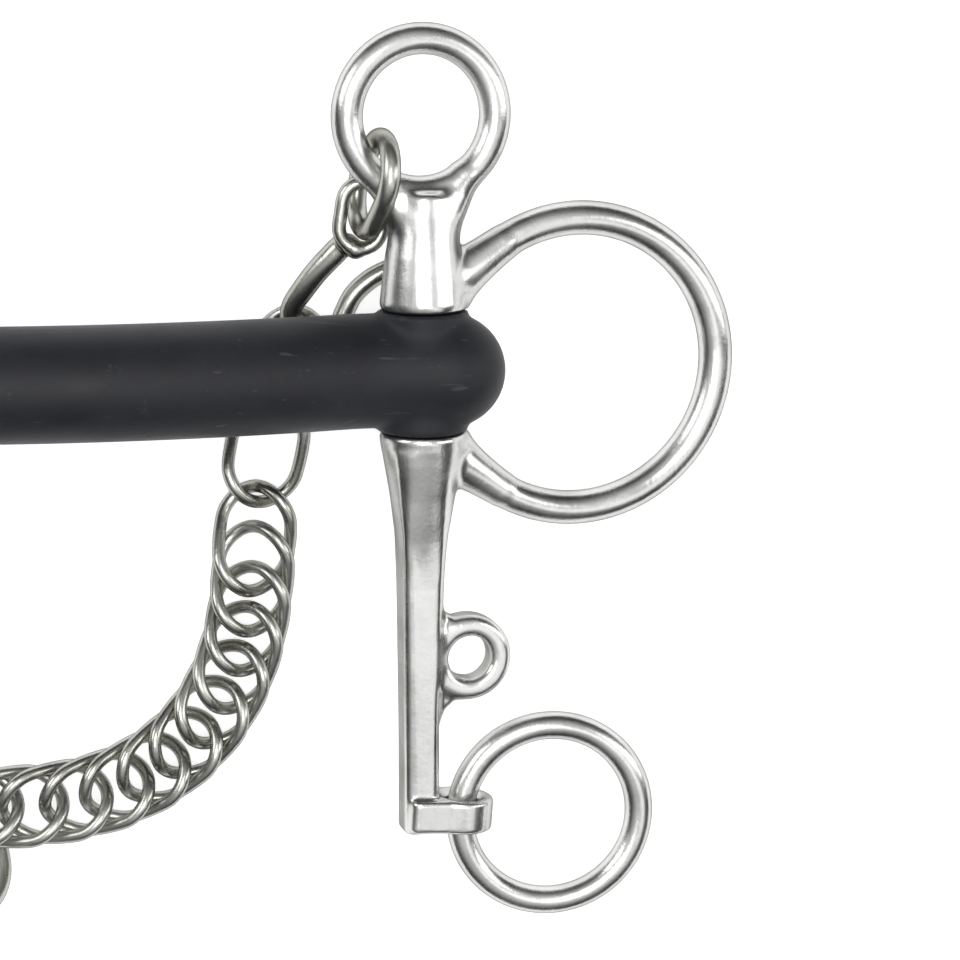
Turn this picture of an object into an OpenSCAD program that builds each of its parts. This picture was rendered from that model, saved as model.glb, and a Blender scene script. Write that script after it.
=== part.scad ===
// Pelham curb bit with an arched rubber mouthpiece, swivelling cheeks and a
// double-link curb chain, lying flat as it rests on a table. Millimetres.
// +X runs along the mouthpiece, +Y towards the headstall rings, +Z up.

/* [Mouthpiece] */
// Distance from the centre line to the axis of each cheek's bar
bar_x = 76.1; // [74:0.1:82]
// Diameter of the rubber
rubber_d = 18.8; // [18:0.1:19.2]
// Turning angle of each half of the arch
arch_angle = 18.9; // [15:0.1:19.5]
// Bend radius of the arch at its crown
arch_radius = 192; // [185:1:200]
// Diameter of the steel core rod
core_d = 6.2; // [5:0.1:7]

/* [Cheeks] */
// Bend radius of the headstall ring, to the middle of its wire
headstall_ring_r = 12.33; // [12:0.01:13]
// Wire radius of the headstall ring
headstall_wire_r = 2.6; // [2.4:0.05:2.7]
// Height of the headstall ring's centre above the mouthpiece
headstall_y = 41.6; // [41:0.1:42.5]
// Bend radius of the snaffle rein ring, to the middle of its wire
snaffle_ring_r = 24.25; // [23.5:0.05:25]
// Wire radius of the snaffle rein ring
snaffle_wire_r = 2.83; // [2.6:0.01:2.9]
// Offset of the snaffle rein ring's centre from the bar
snaffle_x = 26.4; // [25.8:0.1:27]
// Depth of the lip-strap eye below the mouthpiece
lip_eye_y = 48.5; // [46:0.5:50]
// Radius of the lip-strap eye's hole
lip_eye_hole_r = 3.6; // [3:0.1:4]
// Depth of the curb-rein eye below the mouthpiece
rein_eye_y = 75.4; // [74:0.1:76]
// Radius of the curb-rein eye's hole
rein_eye_hole_r = 3.0; // [2.9:0.05:3.2]

/* [Curb rein rings] */
// Bend radius of the curb rein ring, to the middle of its wire
rein_ring_r = 15.3; // [14.5:0.1:16]
// Wire radius of the curb rein ring
rein_wire_r = 2.35; // [2.1:0.05:2.4]

/* [Curb chain] */
// Half length of a link, to the middle of its wire
link_half_length = 8.85; // [8.8:0.05:8.9]
// Half width of a link, to the middle of its wire
link_half_width = 5.9; // [5.7:0.1:6]
// Wire radius of the links
link_wire_r = 1.08; // [1:0.02:1.1]
// Left-hand twist of a link from its middle to each end
link_twist = 40; // [38:1:42]
// Pitch of the double weave
weave_pitch = 6.77; // [6.75:0.01:6.85]
// Pitch of the single links at each end
single_pitch = 15; // [14.9:0.05:15.2]
// Turn of the chain from its middle to the last double link
chain_turn = 87; // [84:1:88]

/* [Resting pose] */
// Height of the bars' axes above the table at the mouthpiece
rest_height = 13.9; // [13.8:0.1:14.2]
// Tilt of the whole bit, feet of the shanks down
rest_tilt = 5.22; // [5:0.02:5.4]
// Swivel of each cheek, snaffle rein ring down
rest_swivel = 12.14; // [12:0.02:12.3]
// Lift of the curb rein ring out of the plane of its cheek
rein_ring_lift = 7.1; // [6.5:0.1:7.5]

/* [Hidden] */
$fn = 64;
steel = [0.72, 0.73, 0.72];
chain_steel = [0.62, 0.62, 0.60];
rubber = [0.17, 0.17, 0.20];
mid_y = 18.6;                       // puts the middle of the outline on Y = 0
shoulder = 10.1;                    // steel shoulders above and below the rubber
journal_r = 4.4;
bend_r = 30;                        // reverse bend where the arch meets each end
arch_rise = (arch_radius + bend_r) * (1 - cos(arch_angle));
arch_end = (arch_radius + bend_r) * sin(arch_angle);
rubber_r = rubber_d / 2;
centre_link = 13;

// ---- vectors --------------------------------------------------------------
function unit(v) = v / norm(v);
function turn_x(p, a) = [p[0], p[1] * cos(a) - p[2] * sin(a), p[1] * sin(a) + p[2] * cos(a)];
function turn_y(p, a) = [p[0] * cos(a) + p[2] * sin(a), p[1], -p[0] * sin(a) + p[2] * cos(a)];
function cheek_dir(p) = turn_x(turn_y(p, rest_swivel), rest_tilt);
function cheek_point(p) = [0, 0, rest_height] + turn_x([bar_x, 0, 0], rest_tilt) + cheek_dir(p);
function smooth(u) = u <= 0 ? 0 : u >= 1 ? 1 : u * u * (3 - 2 * u);

// ---- placing --------------------------------------------------------------
module in_frame() { translate([0, mid_y, 0]) children(); }
module in_bit() { in_frame() translate([0, 0, rest_height]) rotate([rest_tilt, 0, 0]) children(); }
module in_cheek() { in_bit() translate([bar_x, 0, 0]) rotate([0, rest_swivel, 0]) children(); }
module left_hand() { mirror([1, 0, 0]) children(); }
// x, y and z of the children's frame laid along u, v and w, at c
module laid(u, v, w, c) {
  multmatrix([[u[0], v[0], w[0], c[0]], [u[1], v[1], w[1], c[1]], [u[2], v[2], w[2], c[2]], [0, 0, 0, 1]]) children();
}

// ---- shapes ---------------------------------------------------------------
module ring(bend, wire) { rotate_extrude() translate([bend, 0]) circle(wire); }
module bow(bend, wire, from, sweep) { rotate([0, 0, from]) rotate_extrude(angle = sweep) translate([bend, 0]) circle(wire); }
// closed loop of round wire with straight sides, long way along x
module stadium_loop(half_l, half_w, wire) {
  s = half_l - half_w;
  translate([s, 0, 0]) bow(half_w, wire, -90, 180);
  translate([-s, 0, 0]) bow(half_w, wire, 90, 180);
  for (y = [-half_w, half_w]) translate([-s, y, 0]) rotate([0, 90, 0]) cylinder(r = wire, h = 2 * s);
}
// round bar from a to b, tapering from ra to rb
module taper(a, b, ra, rb) {
  d = b - a;
  az = atan2(d[1], d[0]);
  el = acos(d[2] / norm(d));
  translate(a) rotate([0, el, az]) cylinder(r1 = ra, r2 = rb, h = norm(d));
}
// solid of revolution about the y axis from [radius, y] points
module turned(points) { rotate([-90, 0, 0]) rotate_extrude() polygon([for (p = points) [p[0], p[1]]]); }

// ---- swept wire -----------------------------------------------------------
function ring_faces(n, m, closed) = [for (i = [0 : (closed ? n - 1 : n - 2)]) for (j = [0 : m - 1])
    let (a = i * m + j, b = i * m + (j + 1) % m, c = ((i + 1) % n) * m + (j + 1) % m, d = ((i + 1) % n) * m + j)
    each [[a, b, c], [a, c, d]]];
// smooth curve through control points p, four spans to each gap
function curve_at(p, t) =
  let (n = len(p) - 1, i = min(floor(t), n - 1), u = t - i,
       a = p[max(i - 1, 0)], b = p[i], c = p[i + 1], d = p[min(i + 2, n)])
  0.5 * ((2 * b) + (c - a) * u + (2 * a - 5 * b + 4 * c - d) * u * u + (3 * b - a - 3 * c + d) * u * u * u);

// ---- mouthpiece -----------------------------------------------------------
// the reverse bends are a hair thinner, so each joins its neighbours on a flat cap
module arch_bends(r) {
  lap = 1;
  rotate([90, 0, 0]) {
    translate([0, arch_rise - arch_radius, 0]) bow(arch_radius, r, 90 - arch_angle, 2 * arch_angle);
    for (s = [0, 1]) mirror([s, 0, 0]) translate([arch_end, bend_r, 0])
      bow(bend_r, r - 0.03, 270 - arch_angle - lap, arch_angle + lap);
  }
}
module arch_wire(r, reach) {
  arch_bends(r);
  for (s = [0, 1]) mirror([s, 0, 0]) translate([arch_end - 0.4, 0, 0]) rotate([0, 90, 0]) cylinder(r = r, h = reach - arch_end + 0.4);
}
module across_bars(r, half) {
  for (s = [-1, 1]) translate([s * bar_x, -half, 0]) rotate([-90, 0, 0]) cylinder(r = r, h = 2 * half);
}
module mouth_core() {
  color(steel) in_bit() difference() {
    union() { arch_wire(core_d / 2, bar_x); across_bars(6.1, 8.6); }
    across_bars(journal_r + 0.06, 20);
  }
}
// rounded end of the rubber, with the straight run behind it
module rubber_end(r, run) {
  rotate([0, 90, 0]) rotate_extrude()
    polygon(concat([[0, -run], [r, -run]], [for (a = [0 : 5 : 85]) [r * cos(a), r * sin(a)]], [[0, r]]));
}
module mouth_rubber() {
  end_x = bar_x + 4.1;
  color(rubber) in_bit() difference() {
    union() {
      arch_bends(rubber_r);
      for (s = [0, 1]) mirror([s, 0, 0]) translate([end_x, 0, 0]) rubber_end(rubber_r, end_x - arch_end + 0.4);
      across_bars(7.3, 9.9);
    }
    arch_wire(core_d / 2 + 0.05, bar_x);
    across_bars(6.14, 8.64);
    across_bars(journal_r + 0.35, 20);
  }
}

// ---- cheek ----------------------------------------------------------------
module shank() {
  front = [[-5.2, -15], [-4.6, -21], [-4.1, -27], [-3.9, -33], [-3.65, -50], [-3.5, -70], [-3.5, -76.6], [-2.2, -78.2],
           [2.4, -78.2], [2.4, -70], [2.3, -57], [2.6, -50], [3.1, -36], [3.5, -27], [4.3, -21], [5.2, -15]];
  side = [[-5.6, -15], [-4.6, -21], [-3.9, -28], [-3.6, -36], [-3.3, -60], [-3.3, -77.4], [-2.5, -78.2],
          [2.5, -78.2], [3.3, -77.4], [3.3, -60], [3.6, -36], [3.9, -28], [4.6, -21], [5.6, -15]];
  intersection() {
    linear_extrude(height = 20, center = true) polygon(front);
    rotate([0, 90, 0]) linear_extrude(height = 20, center = true) polygon(side);
    translate([-0.5, 0, 0]) turned([[0, -79], [3.75, -79], [3.85, -60], [4.35, -36], [4.8, -28], [5.3, -21], [6.3, -15], [0, -15]]);
  }
}
module lip_eye() {
  translate([7.6, -lip_eye_y, 0]) rotate_extrude()
    polygon([[1, -1.5], [1, 1.5], [lip_eye_hole_r + 0.4, 2.3], [lip_eye_hole_r + 1.2, 2.7], [5.7, 2.7], [6.6, 2.1], [7.1, 1.1], [7.25, 0],
             [7.1, -1.1], [6.6, -2.1], [5.7, -2.7], [lip_eye_hole_r + 1.2, -2.7], [lip_eye_hole_r + 0.4, -2.3]]);
  translate([0, -lip_eye_y, 0]) linear_extrude(height = 4.4, center = true)
    polygon([[0, 12.5], [2.7, 10.6], [3.7, 8.2], [5.6, 6.9], [8, 6.6], [8, -6.6], [5.4, -7.2], [3.4, -8.9], [2.5, -12.5], [0, -15]]);
}
module rein_eye() {
  translate([6.7, -rein_eye_y, 0]) rotate([0, 0, -4]) {
    rotate([-90, 0, 0]) translate([0, 0, -2.8]) cylinder(r = 5.4, h = 5.6);
    translate([-9.8, -2.8, -4.7]) cube([9.8, 5.6, 9.4]);
  }
}
module rein_eye_hole() {
  translate([6.7, -rein_eye_y, 0]) rotate([0, 0, -4]) rotate([-90, 0, 0]) {
    translate([0, 0, -5]) cylinder(r = rein_eye_hole_r, h = 10);
    for (s = [0, 1]) mirror([0, 0, s]) translate([0, 0, 1.9]) cylinder(r1 = rein_eye_hole_r, r2 = rein_eye_hole_r + 1, h = 1);
  }
}
module cheek() {
  difference() {
    union() {
      translate([-0.4, headstall_y, 0]) ring(headstall_ring_r, headstall_wire_r);
      difference() {
        union() {
          translate([snaffle_x, 0, 0]) ring(snaffle_ring_r, snaffle_wire_r);
          turned([[0, -30], [4.1, -30], [4.6, -25], [5.4, -20], [6.2, -16], [6.9, -12.5], [7.1, -11], [7.1, -10.4], [6.8, -shoulder],
                  [6.8, shoulder], [7.1, 10.4], [7.1, 11.2], [6.7, 15], [6.2, 19], [5.5, 23], [4.9, 26], [4.6, 29.4], [0, 29.4]]);
          for (s = [-1, 1]) taper([1.2, s * 12.3, 0], [13.0, s * 20.2, 0], 4.7, 2.86);
        }
        translate([-12, -shoulder, -12]) cube([25, 2 * shoulder, 24]);
      }
      // the left arm is slimmer, so the oval ring hangs clear of it
      taper([0.2, 21, 0], [6.7, 31.5, 0], 4.7, 2.62);
      taper([-0.3, 21, 0], [-6.9, 31.12, 0], 3.9, 2.5);
      translate([0, -shoulder - 1, 0]) rotate([-90, 0, 0]) cylinder(r = journal_r, h = 2 * shoulder + 2);
      shank();
      lip_eye();
      rein_eye();
    }
    translate([7.6, -lip_eye_y, -5]) cylinder(r = lip_eye_hole_r, h = 10);
    rein_eye_hole();
  }
}
module cheek_right() { color(steel) in_cheek() cheek(); }
module cheek_left() { color(steel) left_hand() in_cheek() cheek(); }

// ---- curb rein ring -------------------------------------------------------
module rein_ring() {
  in_cheek() translate([6.7, -rein_eye_y, 0]) rotate([0, 0, -4]) rotate([0, -rein_ring_lift, 0])
    translate([rein_ring_r, 0, 0]) ring(rein_ring_r, rein_wire_r);
}
module rein_ring_right() { color(steel) rein_ring(); }
module rein_ring_left() { color(steel) left_hand() rein_ring(); }

// ---- oval connecting ring -------------------------------------------------
wrap_angle = 233;                   // where the oval ring hangs on the headstall ring
wrap_point = cheek_point([-0.4 + headstall_ring_r * cos(wrap_angle), headstall_y + headstall_ring_r * sin(wrap_angle), 0]);
wrap_tangent = cheek_dir([-sin(wrap_angle), cos(wrap_angle), 0]);
oval_half_l = 8.34;
oval_half_w = 5.9;
oval_wire = 1.65;
oval_foot = [65.7, 24.8, 11.5];
oval_u = unit(oval_foot - wrap_point);
oval_n = unit(wrap_tangent - (wrap_tangent * oval_u) * oval_u);
oval_v = cross(oval_n, oval_u) * cos(25) - oval_n * sin(25);
module oval_ring() {
  in_frame() laid(oval_u, oval_v, cross(oval_u, oval_v), oval_foot - oval_u * oval_half_l)
    stadium_loop(oval_half_l, oval_half_w, oval_wire);
}
module oval_ring_right() { color(chain_steel) oval_ring(); }
module oval_ring_left() { color(chain_steel) left_hand() oval_ring(); }

// ---- curb hook ------------------------------------------------------------
eye_centre = [66.3, 25.2, 13.25];
eye_u = unit([0.15, 1, 0.1]);
eye_v = unit(cross(cross(eye_u, [1, 0.01, -0.04]), eye_u));
eye_half_l = 5.5;
eye_half_w = 3.5;
eye_wire = 1.15;
// middle of the wire and its radius, from the eye to the flared tip
hook_path = [[65.2, 19.6, 12.6, 1.5], [63.5, 20.4, 10.9, 1.95], [61.2, 18.3, 10.1, 2.0], [58.9, 15.8, 9.1, 1.95],
             [56.6, 12.7, 7.8, 1.9], [55.0, 10.2, 6.8, 1.8], [54.7, 8.1, 6.2, 1.75], [55.5, 5.3, 5.2, 1.7],
             [57.7, 3.6, 3.85, 1.7], [59.6, 4.5, 2.4, 1.7], [62.6, 6.2, 2.1, 1.7], [63.6, 8.6, 2.05, 1.7],
             [65.2, 11.7, 2.2, 1.7], [67.9, 14.2, 2.25, 1.7], [71.1, 15.9, 2.3, 1.65], [74.3, 16.9, 2.6, 1.75]];
module hook() {
  n = 46;
  m = 8;
  q = [for (i = [0 : n - 1]) curve_at(hook_path, i * (len(hook_path) - 1) / (n - 1))];
  c = [for (i = [0 : n - 1]) [q[i][0], q[i][1], q[i][2]]];
  pts = [for (i = [0 : n - 1])
    let (t = unit(c[min(i + 1, n - 1)] - c[max(i - 1, 0)]), s = unit(cross(t, [0.2, -0.3, 1])), w = cross(t, s))
    for (j = [0 : m - 1]) c[i] + q[i][3] * (s * cos(360 * j / m) + w * sin(360 * j / m))];
  in_frame() {
    laid(eye_u, eye_v, cross(eye_u, eye_v), eye_centre) stadium_loop(eye_half_l, eye_half_w, eye_wire);
    polyhedron(points = pts, faces = concat(
      [for (f = ring_faces(n, m, false)) [f[0], f[2], f[1]]],
      [[for (j = [0 : m - 1]) j]], [[for (j = [0 : m - 1]) n * m - 1 - j]]));
  }
}
module hook_right() { color(chain_steel) hook(); }
module hook_left() { color(chain_steel) left_hand() hook(); }

// ---- curb chain -----------------------------------------------------------
// steps counted from the middle link outwards
function step_angle(j) = j < 11 ? chain_turn * smooth((j + 0.5) / 11) : j == 11 ? 82.3 : 74.5;
function step_length(j) = j < 2 ? weave_pitch + 0.68 : j == 2 ? weave_pitch + 0.43 : j < 11 ? weave_pitch : single_pitch;
function step_x(j) = j == 0 ? 0 : step_x(j - 1) + step_length(j - 1) * cos(step_angle(j - 1));
function step_y(j) = j == 0 ? -73.3 : step_y(j - 1) + step_length(j - 1) * sin(step_angle(j - 1));
function step_z(j) = 3.47 + (j > 11 ? 0 : 2.2 * smooth((11 - j) / 9));
// slope of the chain at step j, from the links before and after it
function step_slope(j) = j == 0 ? 0 : let (a = j - 1, b = min(j + 1, 13))
  atan2(step_z(b) - step_z(a), norm([step_x(b) - step_x(a), step_y(b) - step_y(a)]));
function link_twist_of(k) = -link_twist * (k == 1 ? 0.91 : k == 2 || k > 25 ? 0.8 : 1);
// the last two links at the left lie loose, turned in under the arch
function loose_turn(k) = k == 26 ? 84 : 74;
function link_centre(k) =
  k > 25 ? link_centre(k - 1) + 14.6 * [cos(loose_turn(k)), sin(loose_turn(k)), 0]
  : let (j = abs(k - 1 - centre_link), side = k - 1 <= centre_link ? 1 : -1) [side * step_x(j), step_y(j), step_z(j)];
function step_heading(j) = j == 0 ? 0 : j == 13 ? 78.5 : (step_angle(j - 1) + step_angle(j)) / 2;
// point of the twisted oval at fraction f of the way round, in the link's own frame
function oval_flat(f) =
  let (s = link_half_length - link_half_width, a = PI * link_half_width, l = 2 * s, d = f * 2 * (a + l))
  d < a ? [s + link_half_width * cos(180 * d / a - 90), link_half_width * sin(180 * d / a - 90)]
  : d < a + l ? [s - (d - a), link_half_width]
  : d < 2 * a + l ? [-s + link_half_width * cos(180 * (d - a - l) / a + 90), link_half_width * sin(180 * (d - a - l) / a + 90)]
  : [-s + (d - 2 * a - l), -link_half_width];
function oval_twisted(f, twist) = let (p = oval_flat(f), w = twist * p[0] / link_half_length) [p[0], p[1] * cos(w), p[1] * sin(w)];
module link(k) {
  j = abs(k - 1 - centre_link);
  side = k - 1 <= centre_link ? 1 : -1;
  n = 26;
  m = 7;
  twist = link_twist_of(k);
  c = [for (i = [0 : n - 1]) oval_twisted(i / n, twist)];
  pts = [for (i = [0 : n - 1])
    let (t = unit(c[(i + 1) % n] - c[(i + n - 1) % n]), o = oval_flat(i / n), w = twist * o[0] / link_half_length,
         s = unit(cross(t, [0, -sin(w), cos(w)])), b = cross(t, s))
    for (a = [0 : m - 1]) c[i] + link_wire_r * (s * cos(360 * a / m) + b * sin(360 * a / m))];
  turn = k > 25 ? [0, 0, loose_turn(k)] : [0, -side * step_slope(j), side * step_heading(j)];
  color(chain_steel) in_frame() translate(link_centre(k)) rotate(turn)
    polyhedron(points = pts, faces = [for (f = ring_faces(n, m, true)) [f[0], f[2], f[1]]]);
}

// ---- fly link -------------------------------------------------------------
module fly_link() {
  n = unit([0.656, 0.429, 0.621]);
  u = unit(cross([0, 1, 0], n));
  color(chain_steel) in_frame() laid(u, cross(n, u), n, [-1.23, -80.76, 8.99]) ring(10, 1.1);
}

cheek_right();
cheek_left();
mouth_core();
mouth_rubber();
rein_ring_right();
rein_ring_left();
oval_ring_right();
oval_ring_left();
hook_right();
hook_left();
fly_link();
link(1);  // link_01
link(2);  // link_02
link(3);  // link_03
link(4);  // link_04
link(5);  // link_05
link(6);  // link_06
link(7);  // link_07
link(8);  // link_08
link(9);  // link_09
link(10);  // link_10
link(11);  // link_11
link(12);  // link_12
link(13);  // link_13
link(14);  // link_14
link(15);  // link_15
link(16);  // link_16
link(17);  // link_17
link(18);  // link_18
link(19);  // link_19
link(20);  // link_20
link(21);  // link_21
link(22);  // link_22
link(23);  // link_23
link(24);  // link_24
link(25);  // link_25
link(26);  // link_26
link(27);  // link_27
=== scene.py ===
import math
import bpy
import numpy as np
from mathutils import Matrix, Vector


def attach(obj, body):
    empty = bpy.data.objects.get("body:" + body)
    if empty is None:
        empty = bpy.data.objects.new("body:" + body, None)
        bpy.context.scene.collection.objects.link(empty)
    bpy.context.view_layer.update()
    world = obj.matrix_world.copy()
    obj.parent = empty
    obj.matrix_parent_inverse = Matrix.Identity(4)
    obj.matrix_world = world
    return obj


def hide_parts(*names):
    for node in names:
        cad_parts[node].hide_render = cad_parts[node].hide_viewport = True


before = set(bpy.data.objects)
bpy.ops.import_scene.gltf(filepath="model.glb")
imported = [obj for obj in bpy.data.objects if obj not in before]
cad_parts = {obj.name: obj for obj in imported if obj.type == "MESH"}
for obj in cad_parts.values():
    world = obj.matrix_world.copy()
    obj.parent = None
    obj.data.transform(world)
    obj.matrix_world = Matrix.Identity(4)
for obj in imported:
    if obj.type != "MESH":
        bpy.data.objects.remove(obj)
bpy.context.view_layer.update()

# ---- dimensions, the same as the CAD's, in millimetres -----------------------------------------
MID_Y, HEIGHT, TILT, SWIVEL, BAR_X = 18.6, 13.9, 5.22, 12.14, 76.1
RAD = math.pi / 180


def rx(a):
    c, s = math.cos(a * RAD), math.sin(a * RAD)
    return np.array([[1, 0, 0], [0, c, -s], [0, s, c]])


def ry(a):
    c, s = math.cos(a * RAD), math.sin(a * RAD)
    return np.array([[c, 0, s], [0, 1, 0], [-s, 0, c]])


def rz(a):
    c, s = math.cos(a * RAD), math.sin(a * RAD)
    return np.array([[c, -s, 0], [s, c, 0], [0, 0, 1]])


def unit(v):
    v = np.asarray(v, float)
    return v / np.linalg.norm(v)


FRAME_O = np.array([0, MID_Y, 0.0])


def bit(p):
    return np.atleast_2d(p) @ rx(TILT).T + FRAME_O + np.array([0, 0, HEIGHT])


def cheek(p):
    return bit(np.atleast_2d(p) @ ry(SWIVEL).T + np.array([BAR_X, 0, 0]))


# ---- meshes from distance fields ---------------------------------------------------------------
def smin(a, b, k):
    h = np.clip(0.5 + 0.5 * (b - a) / k, 0, 1)
    return b + (a - b) * h - k * h * (1 - h)


def smax(a, b, k):
    return -smin(-a, -b, k)


def field(f, p, chunk=260000):
    out = np.empty(len(p))
    for i in range(0, len(p), chunk):
        out[i:i + chunk] = f(p[i:i + chunk])
    return out


def nets(f, lo, hi, h):
    lo = np.array(lo, float)
    n = [int(math.ceil((b - a) / h)) + 1 for a, b in zip(lo, hi)]
    ax = [lo[i] + h * np.arange(n[i]) for i in range(3)]
    g = np.stack(np.meshgrid(*ax, indexing="ij"), -1).reshape(-1, 3)
    v = field(f, g).reshape(n)
    del g
    ins = v < 0
    cnt = np.zeros([m - 1 for m in n], np.int8)
    for a in (0, 1):
        for b in (0, 1):
            for c in (0, 1):
                cnt += ins[a:n[0] - 1 + a, b:n[1] - 1 + b, c:n[2] - 1 + c]
    act = (cnt > 0) & (cnt < 8)
    idx = -np.ones(act.shape, np.int64)
    ci, cj, ck = np.nonzero(act)
    idx[ci, cj, ck] = np.arange(len(ci))
    acc = np.zeros((len(ci), 3))
    num = np.zeros(len(ci))
    for d in range(3):
        for s in (0, 1):
            for t in (0, 1):
                o = [0, 0, 0]
                e = [k for k in range(3) if k != d]
                o[e[0]], o[e[1]] = s, t
                a = v[ci + o[0], cj + o[1], ck + o[2]]
                q = list(o)
                q[d] = 1
                b = v[ci + q[0], cj + q[1], ck + q[2]]
                m = (a < 0) != (b < 0)
                r = np.where(m, a / np.where(m, a - b, 1), 0)
                pt = np.tile(np.array(o, float), (len(ci), 1))
                pt[:, d] = r
                acc[m] += pt[m]
                num[m] += 1
    verts = lo + h * (np.stack([ci, cj, ck], -1) + acc / num[:, None])
    faces = []
    for d in range(3):
        e = [k for k in range(3) if k != d]
        sl0 = [slice(None)] * 3
        sl1 = [slice(None)] * 3
        sl0[d], sl1[d] = slice(0, -1), slice(1, None)
        a, b = ins[tuple(sl0)], ins[tuple(sl1)]
        i = np.stack(np.nonzero(a != b), -1)
        i = i[(i[:, e[0]] > 0) & (i[:, e[1]] > 0)]
        i = i[(i[:, e[0]] < n[e[0]] - 1) & (i[:, e[1]] < n[e[1]] - 1)]
        up = a[i[:, 0], i[:, 1], i[:, 2]]
        quad = []
        for s, t in ((1, 1), (0, 1), (0, 0), (1, 0)):
            j = i.copy()
            j[:, e[0]] -= s
            j[:, e[1]] -= t
            quad.append(idx[j[:, 0], j[:, 1], j[:, 2]])
        quad = np.stack(quad, -1)
        flip = up if d != 1 else ~up
        quad[~flip] = quad[~flip][:, ::-1]
        faces.append(quad)
    faces = np.concatenate(faces)
    for _ in range(2):
        w = field(f, verts)
        e = 0.02
        gr = np.stack([field(f, verts + np.eye(3)[k] * e) - field(f, verts - np.eye(3)[k] * e) for k in range(3)], -1) / (2 * e)
        step = (w / np.maximum((gr ** 2).sum(1), 0.25))[:, None] * gr
        verts = verts - np.clip(step, -0.4 * h, 0.4 * h)
    return verts, faces


def interp(x, table):
    table = sorted(table)
    return np.interp(x, [t[0] for t in table], [t[1] for t in table])


def torus(p, c, big, small):
    q = p - np.array(c)
    return np.hypot(np.hypot(q[:, 0], q[:, 1]) - big, q[:, 2]) - small


def cone_seg(p, a, b, ra, rb):
    a, b = np.array(a, float), np.array(b, float)
    d = b - a
    t = np.clip((p - a) @ d / (d @ d), 0, 1)
    return np.linalg.norm(p - a - t[:, None] * d, axis=1) - (ra + (rb - ra) * t)


def rounded(qx, qy, r):
    """distance to a box of half sizes already taken off, corners rounded by r"""
    ux, uy = qx + r, qy + r
    return np.hypot(np.maximum(ux, 0), np.maximum(uy, 0)) + np.minimum(np.maximum(ux, uy), 0) - r


def cheek_field(p):
    x, y, z = p[:, 0], p[:, 1], p[:, 2]
    head = torus(p, (-0.4, 41.6, 0), 12.33, 2.6)
    big = torus(p, (26.4, 0, 0), 24.25, 2.83)
    rb = interp(y, [(-34, 2.4), (-30, 3.3), (-25, 4.45), (-20, 5.4), (-16, 6.2), (-12.5, 6.9), (-11, 7.1), (-10.1, 6.9), (10.1, 6.9), (11.2, 7.1), (15, 6.7),
                    (19, 6.2), (23, 5.5), (26, 4.9), (29.4, 4.6), (31, 4.4)])
    bar = np.hypot(x, z) - rb
    bar = smax(bar, np.maximum(y - 29.4, -33.5 - y), 1.2)
    roots = np.minimum(cone_seg(p, (1.2, 12.3, 0), (13.0, 20.2, 0), 4.7, 2.86), cone_seg(p, (1.2, -12.3, 0), (13.0, -20.2, 0), 4.7, 2.86))
    body = smin(smin(bar, roots, 1.6), big, 0.9)
    gap = np.maximum(np.abs(y) - 10.1, np.maximum(x - 13.0, -x - 12))
    body = smax(body, -gap, 0.5)
    neck = np.minimum(cone_seg(p, (0.2, 21, 0), (6.7, 31.5, 0), 4.7, 2.62), cone_seg(p, (-0.3, 21, 0), (-6.9, 31.12, 0), 3.9, 2.5))
    neck = smin(neck, head, 0.9)
    neck = np.where(y < 13, np.maximum(neck, 13 - y), neck)
    body = smin(body, neck, 1.4)
    journal = np.maximum(np.hypot(x, z) - 4.4, np.abs(y) - 11)
    body = np.minimum(body, journal)
    left = interp(y, [(-78.2, -3.5), (-70, -3.5), (-50, -3.65), (-33, -3.9), (-27, -4.1), (-21, -4.6), (-15, -5.2), (-11, -5.4)])
    right = interp(y, [(-78.2, 2.4), (-70, 2.4), (-57, 2.3), (-50, 2.6), (-36, 3.1), (-27, 3.5), (-21, 4.3), (-15, 5.2), (-11, 5.4)])
    deep = interp(y, [(-78.2, 3.3), (-60, 3.3), (-36, 3.6), (-28, 3.9), (-21, 4.6), (-15, 5.6), (-11, 5.8)])
    mid, half = (left + right) / 2, (right - left) / 2
    sh = rounded(np.abs(x - mid) - half, np.abs(z) - deep, 1.15)
    cap = interp(y, [(-79, 3.75), (-60, 3.85), (-36, 4.35), (-28, 4.8), (-21, 5.3), (-15, 6.3), (-11, 6.6)])
    sh = smax(sh, np.hypot(x + 0.5, z) - cap, 0.35)
    sh = smax(sh, np.maximum(-78.2 - y, y + 13), 1.0)
    body = smin(body, sh, 1.5)
    rho = np.hypot(x - 7.6, y + 48.5)
    lip = rounded(np.abs(rho - 5.42) - 1.83, np.abs(z) - 2.65, 1.45)
    webt = interp(x, [(-1, 2.1), (2.5, 2.1), (7, 1.6)])
    webw = interp(x, [(-1, 12.5), (0.8, 12.3), (2.6, 10.4), (3.6, 8.4), (5.4, 7.0), (8, 6.3)])
    web = rounded(np.abs(y + 48.9) - webw, np.abs(z) - webt, 1.2)
    web = np.maximum(web, np.maximum(x - 7.4, -1 - x))
    lip = smin(lip, web, 1.0)
    body = smin(body, lip, 1.1)
    hole = rho - 3.6
    body = smax(body, -hole, 0.5)
    q = (p - np.array([6.7, -75.4, 0])) @ rz(-4)
    rr = np.hypot(q[:, 0], q[:, 2])
    disc = rounded(rr - 5.4, np.abs(q[:, 1]) - 2.8, 0.75)
    block = rounded(rounded(np.abs(q[:, 0] + 4.6) - 5.0, np.abs(q[:, 2]) - 4.7, 1.6), np.abs(q[:, 1]) - 2.8, 0.75)
    lug = smin(disc, block, 0.4)
    body = smin(body, lug, 0.7)
    eye = np.maximum(rr - 3.0 - np.clip(np.abs(q[:, 1]) - 1.9, 0, 1.0), np.abs(q[:, 1]) - 4.0)
    body = smax(body, -eye, 0.35)
    return body


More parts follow.
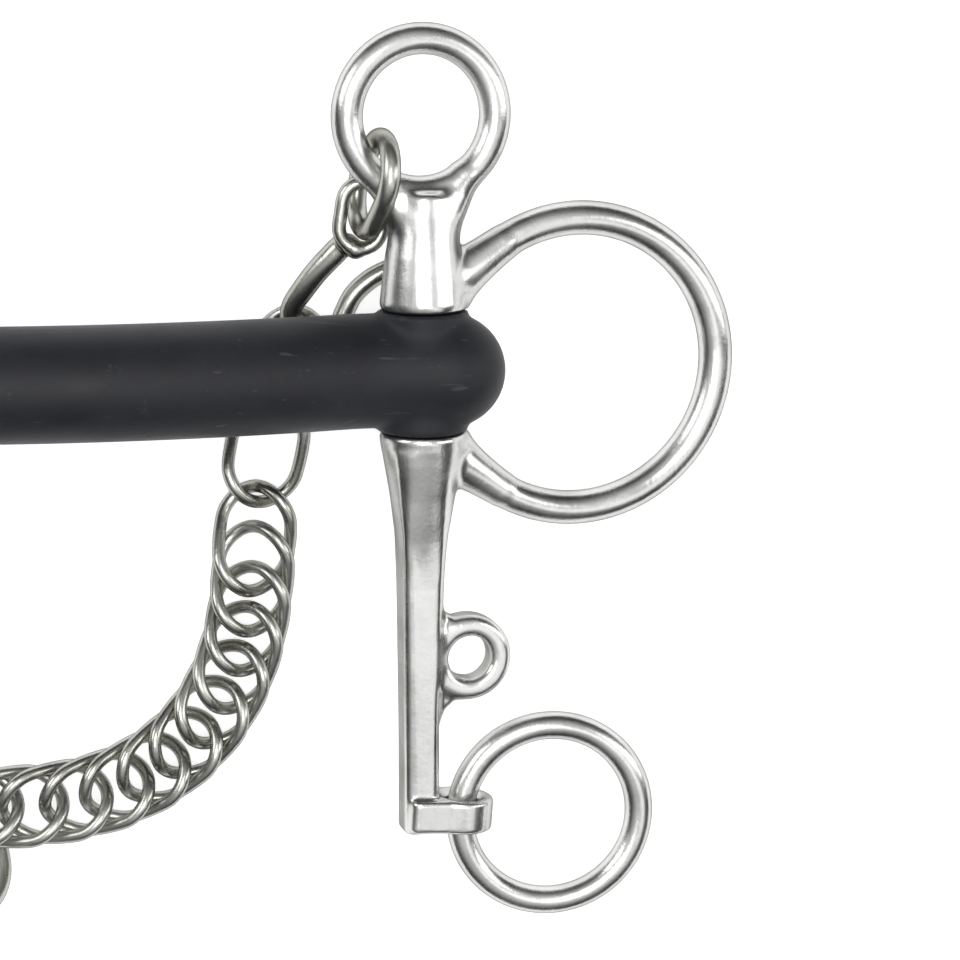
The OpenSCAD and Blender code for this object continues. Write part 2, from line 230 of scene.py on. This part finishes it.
def arch_points():
    pts = []
    t, r1, r2 = 18.9, 192.0, 30.0
    rise = (r1 + r2) * (1 - math.cos(t * RAD))
    end = (r1 + r2) * math.sin(t * RAD)
    for a in np.linspace(0, t, 22):
        pts.append((r1 * math.sin(a * RAD), rise - r1 + r1 * math.cos(a * RAD)))
    for a in np.linspace(t, 0, 8)[1:]:
        pts.append((end - r2 * math.sin(a * RAD), r2 - r2 * math.cos(a * RAD)))
    pts.append((80.2, 0.0))
    return np.array(pts)


ARCH = arch_points()


def mouth_field(p):
    x, y, z = np.abs(p[:, 0]), p[:, 1], p[:, 2]
    best = np.full(len(p), 1e9)
    for (ax, az), (bx, bz) in zip(ARCH[:-1], ARCH[1:]):
        dx, dz = bx - ax, bz - az
        t = np.clip(((x - ax) * dx + (z - az) * dz) / (dx * dx + dz * dz), 0, 1)
        best = np.minimum(best, (x - ax - t * dx) ** 2 + (z - az - t * dz) ** 2)
    d = np.sqrt(best + y * y) - 9.38
    col = rounded(np.hypot(x - BAR_X, z) - 7.3, np.abs(y) - 9.88, 0.35)
    d = smin(d, col, 1.1)
    return np.maximum(d, 4.78 - np.hypot(x - BAR_X, z))


# ---- hook -------------------------------------------------------------------------------------
HOOK = [(65.2, 19.6, 12.6, 1.5), (63.5, 20.4, 10.9, 1.95), (61.2, 18.3, 10.1, 2.0), (58.9, 15.8, 9.1, 1.95), (56.6, 12.7, 7.8, 1.9),
        (55.0, 10.2, 6.8, 1.8), (54.7, 8.1, 6.2, 1.75), (55.5, 5.3, 5.2, 1.7), (57.7, 3.6, 3.85, 1.7), (59.6, 4.5, 2.4, 1.7),
        (62.6, 6.2, 2.1, 1.7), (63.6, 8.6, 2.05, 1.7), (65.2, 11.7, 2.2, 1.7), (67.9, 14.2, 2.25, 1.7), (71.1, 15.9, 2.3, 1.65),
        (74.3, 16.9, 2.6, 1.75)]


def curve(points, n):
    p = np.array(points, float)
    out = []
    for i in range(n):
        t = i * (len(p) - 1) / (n - 1)
        k = min(int(t), len(p) - 2)
        u = t - k
        a, b, c, d = p[max(k - 1, 0)], p[k], p[k + 1], p[min(k + 2, len(p) - 1)]
        out.append(.5 * (2 * b + (c - a) * u + (2 * a - 5 * b + 4 * c - d) * u * u + (3 * b - a - 3 * c + d) * u ** 3))
    return np.array(out)


def stadium(hl, hw, n):
    a = hl - hw
    t = np.linspace(-90, 90, n) * RAD
    r = np.stack([a + hw * np.cos(t), hw * np.sin(t), 0 * t], -1)
    l = np.stack([-a - hw * np.cos(t), -hw * np.sin(t), 0 * t], -1)
    k = max(3, int(2 * a / 0.6))
    s1 = np.stack([np.linspace(a, -a, k), np.full(k, hw), np.zeros(k)], -1)[1:-1]
    s2 = np.stack([np.linspace(-a, a, k), np.full(k, -hw), np.zeros(k)], -1)[1:-1]
    return np.concatenate([r, s1, l, s2])


HOOK_LINE = curve(HOOK, 60)
E1 = unit([0.15, 1, 0.10])
E2 = unit(np.cross(np.cross(E1, [1, 0.01, -0.04]), E1))
_st = stadium(5.5, 3.5, 12)
HOOK_EYE = np.array([66.3, 25.2, 13.25]) + _st[:, [0]] * E1 + _st[:, [1]] * E2


def hook_field(p):
    d = np.full(len(p), 1e9)
    for a, b in zip(HOOK_LINE[:-1], HOOK_LINE[1:]):
        d = np.minimum(d, cone_seg(p, a[:3], b[:3], a[3], b[3]))
    e = np.full(len(p), 1e9)
    for a, b in zip(HOOK_EYE, np.roll(HOOK_EYE, -1, 0)):
        e = np.minimum(e, cone_seg(p, a, b, 1.15, 1.15))
    return smin(d, e, 0.7)


# ---- swept rings and links ---------------------------------------------------------------------
def sweep_closed(c, up, r, m):
    n = len(c)
    t = np.roll(c, -1, 0) - np.roll(c, 1, 0)
    t /= np.linalg.norm(t, axis=1)[:, None]
    s = np.cross(t, up)
    s /= np.linalg.norm(s, axis=1)[:, None]
    b = np.cross(t, s)
    a = 2 * np.pi * np.arange(m) / m
    v = c[:, None] + r * (s[:, None] * np.cos(a)[None, :, None] + b[:, None] * np.sin(a)[None, :, None])
    v = v.reshape(-1, 3)
    i, j = np.meshgrid(np.arange(n), np.arange(m), indexing="ij")
    i, j = i.ravel(), j.ravel()
    f = np.stack([i * m + j, i * m + (j + 1) % m, ((i + 1) % n) * m + (j + 1) % m, ((i + 1) % n) * m + j], -1)
    return v, f


def ring_mesh(c, u, w, big, small, n=120, m=28):
    a = 2 * np.pi * np.arange(n) / n
    u, w = unit(u), unit(w)
    pts = np.array(c) + big * (np.cos(a)[:, None] * u + np.sin(a)[:, None] * w)
    nn = np.tile(np.cross(u, w), (n, 1))
    return sweep_closed(pts, nn, small, m)


HL, HW, WR, PITCH = 8.85, 5.9, 1.08, 6.77


def smooth(u):
    u = min(max(u, 0), 1)
    return u * u * (3 - 2 * u)


def chain_places():
    ang = [87 * smooth((j + 0.5) / 11) if j < 11 else (82.3 if j == 11 else 74.5) for j in range(13)]
    step = [PITCH + 0.68 if j < 2 else PITCH + 0.43 if j == 2 else PITCH if j < 11 else 15.0 for j in range(13)]
    xy = [(0.0, -73.3)]
    for a, s in zip(ang, step):
        xy.append((xy[-1][0] + s * math.cos(a * RAD), xy[-1][1] + s * math.sin(a * RAD)))
    z = [3.47 + (0 if j > 11 else 2.2 * smooth((11 - j) / 9)) for j in range(14)]
    head = [0] + [(ang[j - 1] + ang[j]) / 2 for j in range(1, 13)] + [78.5]
    out = []
    for k in range(27):
        j = abs(k - 13)
        s = 1 if k <= 13 else -1
        lo, hi = max(j - 1, 0), min(j + 1, 13)
        sl = 0 if j == 0 else math.atan2(z[hi] - z[lo], math.hypot(xy[hi][0] - xy[lo][0], xy[hi][1] - xy[lo][1])) / RAD
        out.append([np.array([s * xy[j][0], xy[j][1], z[j]]), rz(s * head[j]) @ ry(-s * sl)])
    for k, turn in ((25, 84), (26, 74)):
        out[k] = [out[k - 1][0] + 14.6 * np.array([math.cos(turn * RAD), math.sin(turn * RAD), 0]), rz(turn)]
    return out


def link_mesh(k):
    st = stadium(HL, HW, 26)
    tw = -40 * (0.91 if k == 0 else 0.8 if k in (1, 25, 26) else 1.0)
    w = tw * st[:, 0] / HL * RAD
    c = np.stack([st[:, 0], st[:, 1] * np.cos(w), st[:, 1] * np.sin(w)], -1)
    up = np.stack([0 * w, -np.sin(w), np.cos(w)], -1)
    v, f = sweep_closed(c, up, WR, 18)
    p, r = PLACES[k]
    return v @ r.T + p + FRAME_O, f


PLACES = chain_places()


# ---- materials --------------------------------------------------------------------------------
def node(nt, kind, **vals):
    n = nt.nodes.new(kind)
    for k, v in vals.items():
        if k in n.inputs:
            n.inputs[k].default_value = v
        else:
            setattr(n, k, v)
    return n


def ramp(nt, stops):
    r = nt.nodes.new("ShaderNodeValToRGB")
    while len(r.color_ramp.elements) > len(stops):
        r.color_ramp.elements.remove(r.color_ramp.elements[-1])
    while len(r.color_ramp.elements) < len(stops):
        r.color_ramp.elements.new(0.5)
    for e, (pos, col) in zip(r.color_ramp.elements, stops):
        e.position = pos
        e.color = (*col, 1) if len(col) == 3 else col
    return r


def steel_material(name, base, dark, rough_lo, rough_hi, brush, crease_shade_color, edge_tint):
    m = bpy.data.materials.new(name)
    m.use_nodes = True
    nt = m.node_tree
    b = nt.nodes["Principled BSDF"]
    b.inputs["Metallic"].default_value = 1.0
    b.inputs["Specular IOR Level"].default_value = 0.5
    b.inputs["Specular Tint"].default_value = (*edge_tint, 1)
    L = nt.links.new
    tc = nt.nodes.new("ShaderNodeTexCoord")
    mp = node(nt, "ShaderNodeMapping")
    mp.inputs["Scale"].default_value = (1.0, 1.0, 1.0)
    L(tc.outputs["Object"], mp.inputs["Vector"])
    cloud = node(nt, "ShaderNodeTexNoise", Scale=95.0, Detail=5.0, Roughness=0.6)
    L(mp.outputs["Vector"], cloud.inputs["Vector"])
    fine = node(nt, "ShaderNodeTexNoise", Scale=1400.0, Detail=3.0, Roughness=0.6)
    L(mp.outputs["Vector"], fine.inputs["Vector"])
    st = node(nt, "ShaderNodeMapping")
    st.inputs["Scale"].default_value = (1.0, 0.06, 1.0)
    L(tc.outputs["Object"], st.inputs["Vector"])
    brushed = node(nt, "ShaderNodeTexNoise", Scale=2600.0, Detail=2.0, Roughness=0.55)
    L(st.outputs["Vector"], brushed.inputs["Vector"])
    col = ramp(nt, [(0.28, dark), (0.5, base), (0.72, tuple(min(1, c * 1.1) for c in base))])
    L(cloud.outputs["Fac"], col.inputs["Fac"])
    # painted shade: Pointiness darkens the base colour in creases and hollows by multiplying it towards a painted shade
    # colour
    geo = nt.nodes.new("ShaderNodeNewGeometry")
    crease_shade_ramp = ramp(nt, [(0.40, crease_shade_color), (0.495, (1, 1, 1)), (0.56, (1, 1, 1))])
    L(geo.outputs["Pointiness"], crease_shade_ramp.inputs["Fac"])
    mix = node(nt, "ShaderNodeMix", data_type="RGBA", blend_type="MULTIPLY")
    mix.inputs[0].default_value = 0.85
    L(col.outputs["Color"], mix.inputs[6])
    L(crease_shade_ramp.outputs["Color"], mix.inputs[7])
    L(mix.outputs[2], b.inputs["Base Color"])
    rr = node(nt, "ShaderNodeMapRange")
    rr.inputs["From Min"].default_value = 0.3
    rr.inputs["From Max"].default_value = 0.7
    rr.inputs["To Min"].default_value = rough_lo
    rr.inputs["To Max"].default_value = rough_hi
    L(cloud.outputs["Fac"], rr.inputs["Value"])
    L(rr.outputs["Result"], b.inputs["Roughness"])
    add = node(nt, "ShaderNodeMath", operation="ADD")
    L(fine.outputs["Fac"], add.inputs[0])
    L(brushed.outputs["Fac"], add.inputs[1])
    bump = node(nt, "ShaderNodeBump", Strength=brush, Distance=0.00006)
    L(add.outputs["Value"], bump.inputs["Height"])
    L(bump.outputs["Normal"], b.inputs["Normal"])
    return m


def rubber_material():
    m = bpy.data.materials.new("rubber_charcoal")
    m.use_nodes = True
    nt = m.node_tree
    b = nt.nodes["Principled BSDF"]
    b.inputs["Metallic"].default_value = 0.0
    b.inputs["Specular IOR Level"].default_value = 0.30
    L = nt.links.new
    tc = nt.nodes.new("ShaderNodeTexCoord")
    cloud = node(nt, "ShaderNodeTexNoise", Scale=70.0, Detail=6.0, Roughness=0.62)
    grain = node(nt, "ShaderNodeTexNoise", Scale=2300.0, Detail=3.0, Roughness=0.6)
    scuff = node(nt, "ShaderNodeTexNoise", Scale=230.0, Detail=8.0, Roughness=0.72)
    scr_m = node(nt, "ShaderNodeMapping")
    scr_m.inputs["Scale"].default_value = (0.12, 1.0, 1.0)
    scr_m.inputs["Rotation"].default_value = (0, 0, 0.5)
    scratch = node(nt, "ShaderNodeTexNoise", Scale=900.0, Detail=2.0, Roughness=0.5)
    for n in (cloud, grain, scuff):
        L(tc.outputs["Object"], n.inputs["Vector"])
    L(tc.outputs["Object"], scr_m.inputs["Vector"])
    L(scr_m.outputs["Vector"], scratch.inputs["Vector"])
    col = ramp(nt, [(0.3, (0.0105, 0.011, 0.0145)), (0.55, (0.0145, 0.0152, 0.0195)), (0.75, (0.021, 0.022, 0.028))])
    L(cloud.outputs["Fac"], col.inputs["Fac"])
    sm = ramp(nt, [(0.62, (0, 0, 0)), (0.72, (1, 1, 1))])
    L(scuff.outputs["Fac"], sm.inputs["Fac"])
    sm2 = ramp(nt, [(0.69, (0, 0, 0)), (0.76, (1, 1, 1))])
    L(scratch.outputs["Fac"], sm2.inputs["Fac"])
    mx = node(nt, "ShaderNodeMath", operation="MAXIMUM")
    L(sm.outputs["Color"], mx.inputs[0])
    L(sm2.outputs["Color"], mx.inputs[1])
    half = node(nt, "ShaderNodeMath", operation="MULTIPLY")
    half.inputs[1].default_value = 0.55
    L(mx.outputs["Value"], half.inputs[0])
    mix = node(nt, "ShaderNodeMix", data_type="RGBA", blend_type="MIX")
    L(half.outputs["Value"], mix.inputs[0])
    L(col.outputs["Color"], mix.inputs[6])
    mix.inputs[7].default_value = (0.06, 0.063, 0.074, 1)
    L(mix.outputs[2], b.inputs["Base Color"])
    rr = node(nt, "ShaderNodeMapRange")
    rr.inputs["From Min"].default_value = 0.3
    rr.inputs["From Max"].default_value = 0.7
    rr.inputs["To Min"].default_value = 0.46
    rr.inputs["To Max"].default_value = 0.62
    L(cloud.outputs["Fac"], rr.inputs["Value"])
    L(rr.outputs["Result"], b.inputs["Roughness"])
    add = node(nt, "ShaderNodeMath", operation="ADD")
    L(grain.outputs["Fac"], add.inputs[0])
    L(scuff.outputs["Fac"], add.inputs[1])
    bump = node(nt, "ShaderNodeBump", Strength=0.22, Distance=0.00012)
    L(add.outputs["Value"], bump.inputs["Height"])
    L(bump.outputs["Normal"], b.inputs["Normal"])
    return m


STEEL = steel_material("steel_satin", (0.63, 0.635, 0.62), (0.50, 0.505, 0.485), 0.20, 0.32, 0.30, (0.42, 0.41, 0.38), (0.22, 0.225, 0.21))
WIRE = steel_material("steel_wire", (0.46, 0.46, 0.43), (0.31, 0.305, 0.275), 0.22, 0.34, 0.30, (0.28, 0.26, 0.23), (0.16, 0.155, 0.14))
RUBBER = rubber_material()


# ---- pieces -----------------------------------------------------------------------------------
def piece(name, verts, faces, mat, slot, body, *nodes, mirror=False):
    v = np.array(verts, float)
    f = np.array(faces)
    if mirror:
        v = v * np.array([-1, 1, 1])
        f = f[:, ::-1]
    me = bpy.data.meshes.new(name)
    me.vertices.add(len(v))
    me.vertices.foreach_set("co", (v / 1000).ravel())
    me.loops.add(f.size)
    me.loops.foreach_set("vertex_index", f.ravel().astype(np.int32))
    me.polygons.add(len(f))
    me.polygons.foreach_set("loop_start", (np.arange(len(f)) * f.shape[1]).astype(np.int32))
    me.update(calc_edges=True)
    me.validate()
    me.polygons.foreach_set("use_smooth", [True] * len(me.polygons))
    me.materials.append(mat)
    o = bpy.data.objects.new(name, me)
    bpy.context.scene.collection.objects.link(o)
    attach(o, body)
    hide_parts(*nodes)
    return o


GRID = 0.36
cv, cf = nets(cheek_field, (-16.2, -79.2, -7.9), (55.0, 58.0, 7.9), GRID)
print("cheek", len(cv), len(cf))
for side, mir in (("right", False), ("left", True)):
    piece("cheek_steel_" + side, cheek(cv), cf, STEEL, "steel", "cheek_" + side, "cheek_" + side, mirror=mir)

mv, mf = nets(mouth_field, (-91.0, -11.0, -11.0), (91.0, 11.0, 23.5), 0.6)
print("mouth", len(mv), len(mf))
piece("mouth_rubber_cover", bit(mv), mf, RUBBER, "rubber", "mouthpiece", "mouth_rubber")

hv, hf = nets(hook_field, (51.5, 0.8, -0.4), (77.0, 33.5, 16.5), 0.27)
print("hook", len(hv), len(hf))
for side, mir in (("right", False), ("left", True)):
    piece("curb_hook_" + side, hv + FRAME_O, hf, WIRE, "chain_steel", "hook_" + side, "hook_" + side, mirror=mir)

# oval rings
wrap = 233 * RAD
W0 = (cheek([[-0.4 + 12.33 * math.cos(wrap), 41.6 + 12.33 * math.sin(wrap), 0]]) - FRAME_O)[0]
WT = rx(TILT) @ ry(SWIVEL) @ np.array([-math.sin(wrap), math.cos(wrap), 0])
FOOT = np.array([65.7, 24.8, 11.5])
OU = unit(FOOT - W0)
ON = unit(WT - (WT @ OU) * OU)
OV = np.cross(ON, OU) * math.cos(25 * RAD) - ON * math.sin(25 * RAD)
st = stadium(8.34, 5.9, 40)
oc = FOOT - OU * 8.34 + st[:, [0]] * OU + st[:, [1]] * OV + FRAME_O
ov, of_ = sweep_closed(oc, np.tile(np.cross(OU, OV), (len(oc), 1)), 1.65, 24)
for side, mir in (("right", False), ("left", True)):
    piece("oval_link_" + side, ov, of_, WIRE, "chain_steel", "oval_ring_" + side, "oval_ring_" + side, mirror=mir)

# curb rein rings
rr_m = rz(-4) @ ry(-7.1)
rc = np.array([6.7, -75.4, 0]) + rr_m @ np.array([15.3, 0, 0])
a = 2 * np.pi * np.arange(200) / 200
rp = rc + 15.3 * (np.cos(a)[:, None] * rr_m[:, 0] + np.sin(a)[:, None] * rr_m[:, 1])
rv, rf = sweep_closed(rp, np.tile(rr_m[:, 2], (200, 1)), 2.35, 32)
for side, mir in (("right", False), ("left", True)):
    piece("curb_rein_ring_" + side, cheek(rv), rf, STEEL, "steel", "rein_ring_" + side, "rein_ring_" + side, mirror=mir)

# curb chain
for k in range(27):
    v, f = link_mesh(k)
    n = "link_%02d" % (k + 1)
    piece("chain_" + n, v, f, WIRE, "chain_steel", n, n)

# fly link
fn = unit([0.656, 0.429, 0.621])
fu = unit(np.cross([0, 1, 0], fn))
v, f = ring_mesh(np.array([-1.23, -80.76, 8.99]) + FRAME_O, fu, np.cross(fn, fu), 10, 1.1)
piece("fly_ring", v, f, WIRE, "chain_steel", "fly_link", "fly_link")

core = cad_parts["mouth_core"]
for s in core.material_slots:
    s.material = STEEL

# ---- floor, light, camera ---------------------------------------------------------------------
fm = bpy.data.materials.new("floor_white")
fm.use_nodes = True
fb = fm.node_tree.nodes["Principled BSDF"]
fb.inputs["Base Color"].default_value = (0.85, 0.85, 0.85, 1)
fb.inputs["Roughness"].default_value = 0.9
fb.inputs["Specular IOR Level"].default_value = 0.1
fb.inputs["Emission Color"].default_value = (1, 1, 1, 1)
fb.inputs["Emission Strength"].default_value = 0.60
bpy.ops.mesh.primitive_plane_add(size=6.0, location=(0, 0, -0.0002))
floor = bpy.context.object
floor.name = "floor"
floor.data.materials.append(fm)

world = bpy.data.worlds.new("studio")
bpy.context.scene.world = world
world.use_nodes = True
wt = world.node_tree
bg = wt.nodes["Background"]
wtc = wt.nodes.new("ShaderNodeTexCoord")
sep = wt.nodes.new("ShaderNodeSeparateXYZ")
wt.links.new(wtc.outputs["Generated"], sep.inputs["Vector"])
wr = wt.nodes.new("ShaderNodeValToRGB")
els = wr.color_ramp.elements
els[0].position, els[0].color = 0.0, (0.05, 0.05, 0.05, 1)
els[1].position, els[1].color = 1.0, (0.95, 0.96, 0.98, 1)
for pos, c in ((0.25, 0.04), (0.45, 0.13), (0.66, 0.40), (0.82, 0.78)):
    e = els.new(pos)
    e.color = (c, c, c, 1)
wt.links.new(sep.outputs["Z"], wr.inputs["Fac"])
wt.links.new(wr.outputs["Color"], bg.inputs["Color"])
bg.inputs["Strength"].default_value = 0.8


def area(name, loc, target, size, size_y, power):
    d = bpy.data.lights.new(name, "AREA")
    d.shape = "RECTANGLE"
    d.size, d.size_y, d.energy = size, size_y, power
    o = bpy.data.objects.new(name, d)
    bpy.context.scene.collection.objects.link(o)
    o.location = loc
    o.rotation_euler = (Vector(target) - Vector(loc)).to_track_quat("-Z", "Y").to_euler()
    return o


area("top_box", (0.02, 0.05, 1.1), (0.04, 0, 0), 0.55, 0.55, 4.5)
area("left_box", (-1.0, 0.5, 0.8), (0.04, 0, 0), 0.7, 0.7, 5)
area("right_box", (1.0, 0.1, 0.55), (0.06, 0, 0), 0.35, 0.9, 3)
area("shank_box", (0.352, -0.190, 0.528), (0.076, -0.030, 0.012), 0.2, 0.5, 0.29)

cam = bpy.data.cameras.new("camera")
cam.sensor_width = 36
cam.lens = 3435.2 / 960 * 36
cam.clip_start, cam.clip_end = 0.01, 20
co = bpy.data.objects.new("camera", cam)
bpy.context.scene.collection.objects.link(co)
F = unit([0.0706, -0.1133, -0.991])
U = np.array([0.0087, 0.9936, -0.113])
R = unit(np.cross(F, U))
U = np.cross(R, F)
m = Matrix(((R[0], U[0], -F[0], 0.04564), (R[1], U[1], -F[1], 0.04571 + MID_Y / 1000), (R[2], U[2], -F[2], 0.5722), (0, 0, 0, 1)))
co.matrix_world = m
bpy.context.scene.camera = co
bpy.context.scene.view_settings.view_transform = "Standard"
